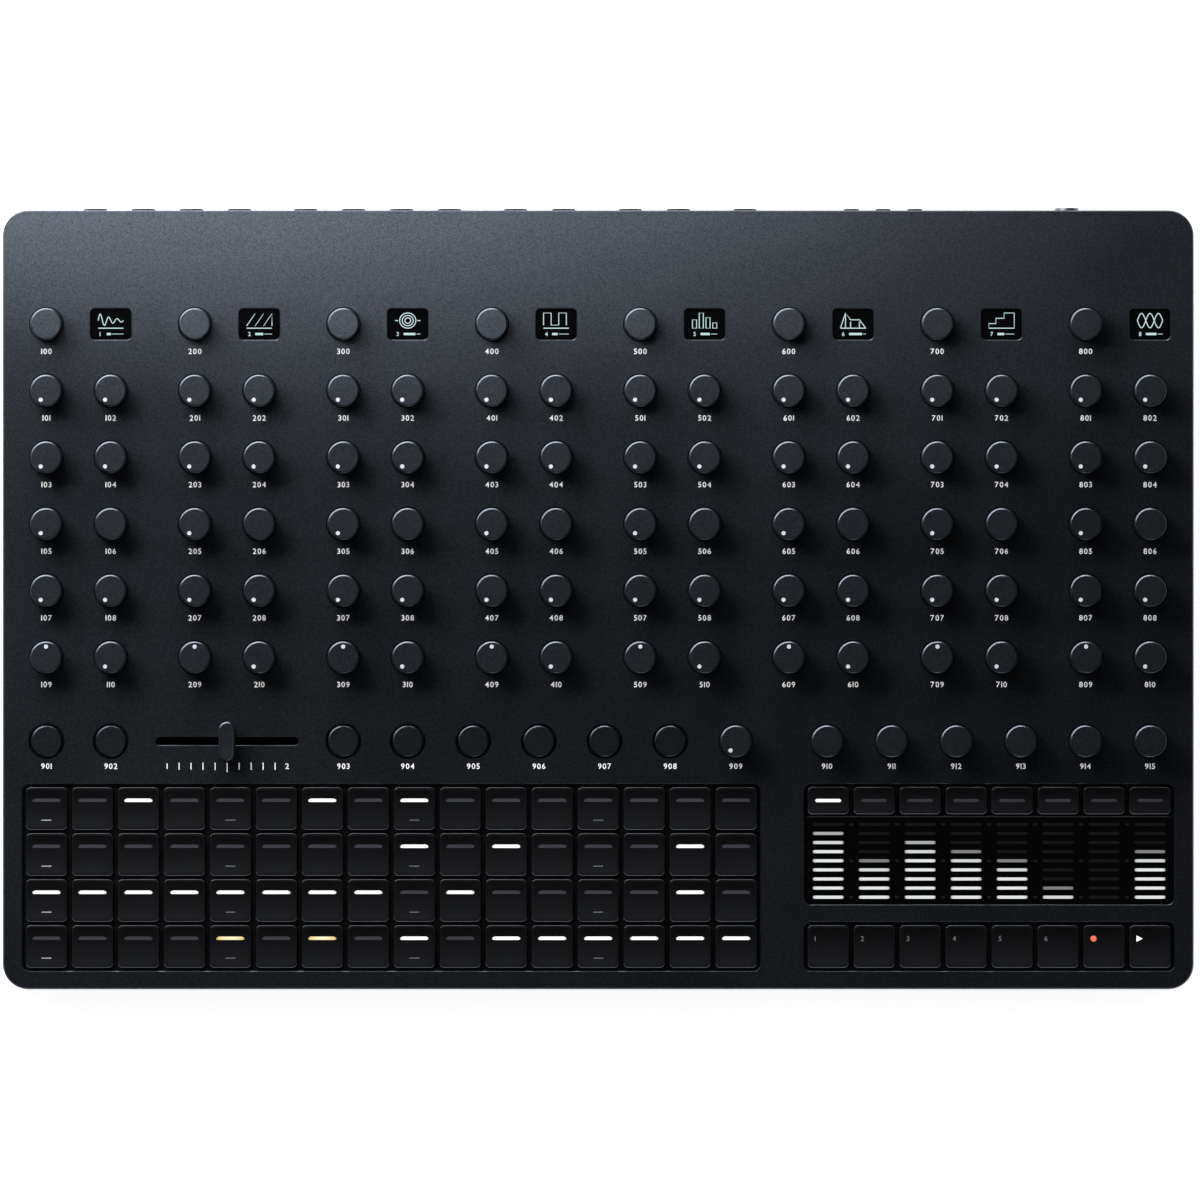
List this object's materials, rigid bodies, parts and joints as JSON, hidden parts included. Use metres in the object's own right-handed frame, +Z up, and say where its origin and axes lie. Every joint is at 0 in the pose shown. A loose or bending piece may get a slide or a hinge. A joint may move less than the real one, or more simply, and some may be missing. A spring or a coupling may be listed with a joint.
{
  "type": "drum machine",
  "caption": "Flat desktop drum machine with knobs in channel columns, small screens, a grid of lit step pads, a crossfader, a touch strip and rear sockets.",
  "frame": {"origin": "the middle of the object's box, on the plane that its feet stand on", "axes": "+X to the player's right, +Y to the rear where the sockets are, +Z up"},
  "size_m": [0.47, 0.3086, 0.0555],
  "materials": {
    "face_paint": "fine-textured blue-black powder coat",
    "case_paint": "fine-textured blue-black powder coat",
    "base_paint": "matt black powder coat",
    "rear_plastic": "fine spark-eroded texture",
    "foot_rubber": "matt",
    "black_steel": "black oxide",
    "bare_steel": "rolled",
    "button_metal": "satin, turned",
    "screen_glass": "polished",
    "touch_glass": "polished",
    "light_plastic": "diffusing",
    "pad_plastic": "fine satin texture",
    "button_plastic": "fine satin texture",
    "knob_plastic": "fine texture, soft touch",
    "black_nylon": "moulded",
    "mat_rubber": "matt silicone",
    "circuit_board": "solder mask",
    "brass_plate": "plated",
    "ribbon_plastic": "extruded",
    "pot_body": "moulded"
  },
  "bodies": {
    "case": {"face_plate": "face_paint", "side_frame": "case_paint", "base_cover": "base_paint", "rear_panel": "rear_plastic", "rubber_feet": "foot_rubber", "m3_screws": "black_steel", "screen_lenses": "screen_glass", "screen_modules": "black_nylon", "touch_panel": "touch_glass", "touch_light_bars": "light_plastic", "pad_guides": "black_nylon", "switch_mats": "mat_rubber", "pad_board": "circuit_board", "knob_board": "circuit_board", "main_board": "circuit_board", "board_spacers": "brass_plate", "ribbon_cables": "ribbon_plastic", "potentiometers": "pot_body", "encoders": "bare_steel", "fader_track": "bare_steel", "phone_jacks": "black_nylon", "mini_jacks": "black_nylon", "usb_port": "bare_steel", "power_switch": "black_nylon", "channel_knobs": "knob_plastic"},
    "step_pads_row_1": {"step_pads_row_1": "pad_plastic"},
    "step_pads_row_2": {"step_pads_row_2": "pad_plastic"},
    "step_pads_row_3": {"step_pads_row_3": "pad_plastic"},
    "step_pads_row_4": {"step_pads_row_4": "pad_plastic"},
    "select_pads": {"select_pads": "pad_plastic"},
    "function_pads": {"function_pads": "pad_plastic"},
    "round_buttons": {"round_buttons": "button_plastic"},
    "power_button": {"power_button": "button_metal"},
    "crossfader": {"fader_lever": "bare_steel", "fader_cap": "knob_plastic"},
    "master_volume_knob": {"master_volume_knob": "knob_plastic"},
    "sequencer_knob_1": {"sequencer_knob_1": "knob_plastic"},
    "sequencer_knob_2": {"sequencer_knob_2": "knob_plastic"},
    "sequencer_knob_3": {"sequencer_knob_3": "knob_plastic"},
    "sequencer_knob_4": {"sequencer_knob_4": "knob_plastic"},
    "sequencer_knob_5": {"sequencer_knob_5": "knob_plastic"},
    "sequencer_knob_6": {"sequencer_knob_6": "knob_plastic"},
    "channel_1_selector_knob": {"channel_1_selector_knob": "knob_plastic"},
    "channel_1_a_knob": {"channel_1_a_knob": "knob_plastic"},
    "channel_1_pitch_knob": {"channel_1_pitch_knob": "knob_plastic"},
    "channel_1_b_knob": {"channel_1_b_knob": "knob_plastic"},
    "channel_1_decay_knob": {"channel_1_decay_knob": "knob_plastic"},
    "channel_1_c_knob": {"channel_1_c_knob": "knob_plastic"},
    "channel_1_lfo_knob": {"channel_1_lfo_knob": "knob_plastic"},
    "channel_1_fx1_knob": {"channel_1_fx1_knob": "knob_plastic"},
    "channel_1_fx2_knob": {"channel_1_fx2_knob": "knob_plastic"},
    "channel_1_pan_knob": {"channel_1_pan_knob": "knob_plastic"},
    "channel_1_volume_knob": {"channel_1_volume_knob": "knob_plastic"},
    "channel_2_selector_knob": {"channel_2_selector_knob": "knob_plastic"},
    "channel_3_selector_knob": {"channel_3_selector_knob": "knob_plastic"},
    "channel_4_selector_knob": {"channel_4_selector_knob": "knob_plastic"},
    "channel_5_selector_knob": {"channel_5_selector_knob": "knob_plastic"},
    "channel_6_selector_knob": {"channel_6_selector_knob": "knob_plastic"},
    "channel_7_selector_knob": {"channel_7_selector_knob": "knob_plastic"},
    "channel_8_selector_knob": {"channel_8_selector_knob": "knob_plastic"}
  },
  "joints": [
    {"name": "step_pads_row_1_press", "type": "slide", "parent": "case", "child": "step_pads_row_1", "axis": [0, 0, -1], "range_m": [0, 0.0008], "stiffness_N_per_m": 2000, "springref_m": -0.0006},
    {"name": "step_pads_row_2_press", "type": "slide", "parent": "case", "child": "step_pads_row_2", "axis": [0, 0, -1], "range_m": [0, 0.0008], "stiffness_N_per_m": 2000, "springref_m": -0.0006},
    {"name": "step_pads_row_3_press", "type": "slide", "parent": "case", "child": "step_pads_row_3", "axis": [0, 0, -1], "range_m": [0, 0.0008], "stiffness_N_per_m": 2000, "springref_m": -0.0006},
    {"name": "step_pads_row_4_press", "type": "slide", "parent": "case", "child": "step_pads_row_4", "axis": [0, 0, -1], "range_m": [0, 0.0008], "stiffness_N_per_m": 2000, "springref_m": -0.0006},
    {"name": "select_pads_press", "type": "slide", "parent": "case", "child": "select_pads", "axis": [0, 0, -1], "range_m": [0, 0.0008], "stiffness_N_per_m": 1300, "springref_m": -0.0006},
    {"name": "function_pads_press", "type": "slide", "parent": "case", "child": "function_pads", "axis": [0, 0, -1], "range_m": [0, 0.0008], "stiffness_N_per_m": 1300, "springref_m": -0.0006},
    {"name": "round_buttons_press", "type": "slide", "parent": "case", "child": "round_buttons", "axis": [0, 0, -1], "range_m": [0, 0.0008], "stiffness_N_per_m": 1300, "springref_m": -0.0006},
    {"name": "power_button_press", "type": "slide", "parent": "case", "child": "power_button", "axis": [0, -1, 0], "range_m": [0, 0.001], "stiffness_N_per_m": 1500, "springref_m": -0.001},
    {"name": "crossfader_slide", "type": "slide", "parent": "case", "child": "crossfader", "axis": [1, 0, 0], "range_m": [-0.0225, 0.0225]},
    {"name": "master_volume_turn", "type": "hinge", "parent": "case", "child": "master_volume_knob", "pos_m": [0.0543, -0.0564, 0.0433], "axis": [0, 0, -1], "range_deg": [0, 300]},
    {"name": "sequencer_knob_1_turn", "type": "hinge", "parent": "case", "child": "sequencer_knob_1", "pos_m": [0.0903, -0.0564, 0.0433], "axis": [0, 0, -1], "continuous": true},
    {"name": "sequencer_knob_2_turn", "type": "hinge", "parent": "case", "child": "sequencer_knob_2", "pos_m": [0.1158, -0.0564, 0.0433], "axis": [0, 0, -1], "continuous": true},
    {"name": "sequencer_knob_3_turn", "type": "hinge", "parent": "case", "child": "sequencer_knob_3", "pos_m": [0.1413, -0.0564, 0.0433], "axis": [0, 0, -1], "continuous": true},
    {"name": "sequencer_knob_4_turn", "type": "hinge", "parent": "case", "child": "sequencer_knob_4", "pos_m": [0.1668, -0.0564, 0.0433], "axis": [0, 0, -1], "continuous": true},
    {"name": "sequencer_knob_5_turn", "type": "hinge", "parent": "case", "child": "sequencer_knob_5", "pos_m": [0.1923, -0.0564, 0.0433], "axis": [0, 0, -1], "continuous": true},
    {"name": "sequencer_knob_6_turn", "type": "hinge", "parent": "case", "child": "sequencer_knob_6", "pos_m": [0.2178, -0.0564, 0.0433], "axis": [0, 0, -1], "continuous": true},
    {"name": "channel_1_selector_turn", "type": "hinge", "parent": "case", "child": "channel_1_selector_knob", "pos_m": [-0.2178, 0.1082, 0.0433], "axis": [0, 0, -1], "continuous": true},
    {"name": "channel_1_a_turn", "type": "hinge", "parent": "case", "child": "channel_1_a_knob", "pos_m": [-0.2178, 0.0819, 0.0433], "axis": [0, 0, -1], "range_deg": [0, 300]},
    {"name": "channel_1_pitch_turn", "type": "hinge", "parent": "case", "child": "channel_1_pitch_knob", "pos_m": [-0.1924, 0.0819, 0.0433], "axis": [0, 0, -1], "range_deg": [0, 300]},
    {"name": "channel_1_b_turn", "type": "hinge", "parent": "case", "child": "channel_1_b_knob", "pos_m": [-0.2178, 0.0556, 0.0433], "axis": [0, 0, -1], "range_deg": [0, 300]},
    {"name": "channel_1_decay_turn", "type": "hinge", "parent": "case", "child": "channel_1_decay_knob", "pos_m": [-0.1924, 0.0556, 0.0433], "axis": [0, 0, -1], "range_deg": [0, 300]},
    {"name": "channel_1_c_turn", "type": "hinge", "parent": "case", "child": "channel_1_c_knob", "pos_m": [-0.2178, 0.0293, 0.0433], "axis": [0, 0, -1], "range_deg": [0, 300]},
    {"name": "channel_1_lfo_turn", "type": "hinge", "parent": "case", "child": "channel_1_lfo_knob", "pos_m": [-0.1924, 0.0293, 0.0433], "axis": [0, 0, -1], "continuous": true},
    {"name": "channel_1_fx1_turn", "type": "hinge", "parent": "case", "child": "channel_1_fx1_knob", "pos_m": [-0.2178, 0.003, 0.0433], "axis": [0, 0, -1], "range_deg": [0, 300]},
    {"name": "channel_1_fx2_turn", "type": "hinge", "parent": "case", "child": "channel_1_fx2_knob", "pos_m": [-0.1924, 0.003, 0.0433], "axis": [0, 0, -1], "range_deg": [0, 300]},
    {"name": "channel_1_pan_turn", "type": "hinge", "parent": "case", "child": "channel_1_pan_knob", "pos_m": [-0.2178, -0.0233, 0.0433], "axis": [0, 0, -1], "range_deg": [-150, 150]},
    {"name": "channel_1_volume_turn", "type": "hinge", "parent": "case", "child": "channel_1_volume_knob", "pos_m": [-0.1924, -0.0233, 0.0433], "axis": [0, 0, -1], "range_deg": [0, 300]},
    {"name": "channel_2_selector_turn", "type": "hinge", "parent": "case", "child": "channel_2_selector_knob", "pos_m": [-0.1592, 0.1082, 0.0433], "axis": [0, 0, -1], "continuous": true},
    {"name": "channel_3_selector_turn", "type": "hinge", "parent": "case", "child": "channel_3_selector_knob", "pos_m": [-0.1006, 0.1082, 0.0433], "axis": [0, 0, -1], "continuous": true},
    {"name": "channel_4_selector_turn", "type": "hinge", "parent": "case", "child": "channel_4_selector_knob", "pos_m": [-0.042, 0.1082, 0.0433], "axis": [0, 0, -1], "continuous": true},
    {"name": "channel_5_selector_turn", "type": "hinge", "parent": "case", "child": "channel_5_selector_knob", "pos_m": [0.0166, 0.1082, 0.0433], "axis": [0, 0, -1], "continuous": true},
    {"name": "channel_6_selector_turn", "type": "hinge", "parent": "case", "child": "channel_6_selector_knob", "pos_m": [0.0752, 0.1082, 0.0433], "axis": [0, 0, -1], "continuous": true},
    {"name": "channel_7_selector_turn", "type": "hinge", "parent": "case", "child": "channel_7_selector_knob", "pos_m": [0.1338, 0.1082, 0.0433], "axis": [0, 0, -1], "continuous": true},
    {"name": "channel_8_selector_turn", "type": "hinge", "parent": "case", "child": "channel_8_selector_knob", "pos_m": [0.1924, 0.1082, 0.0433], "axis": [0, 0, -1], "continuous": true}
  ]
}
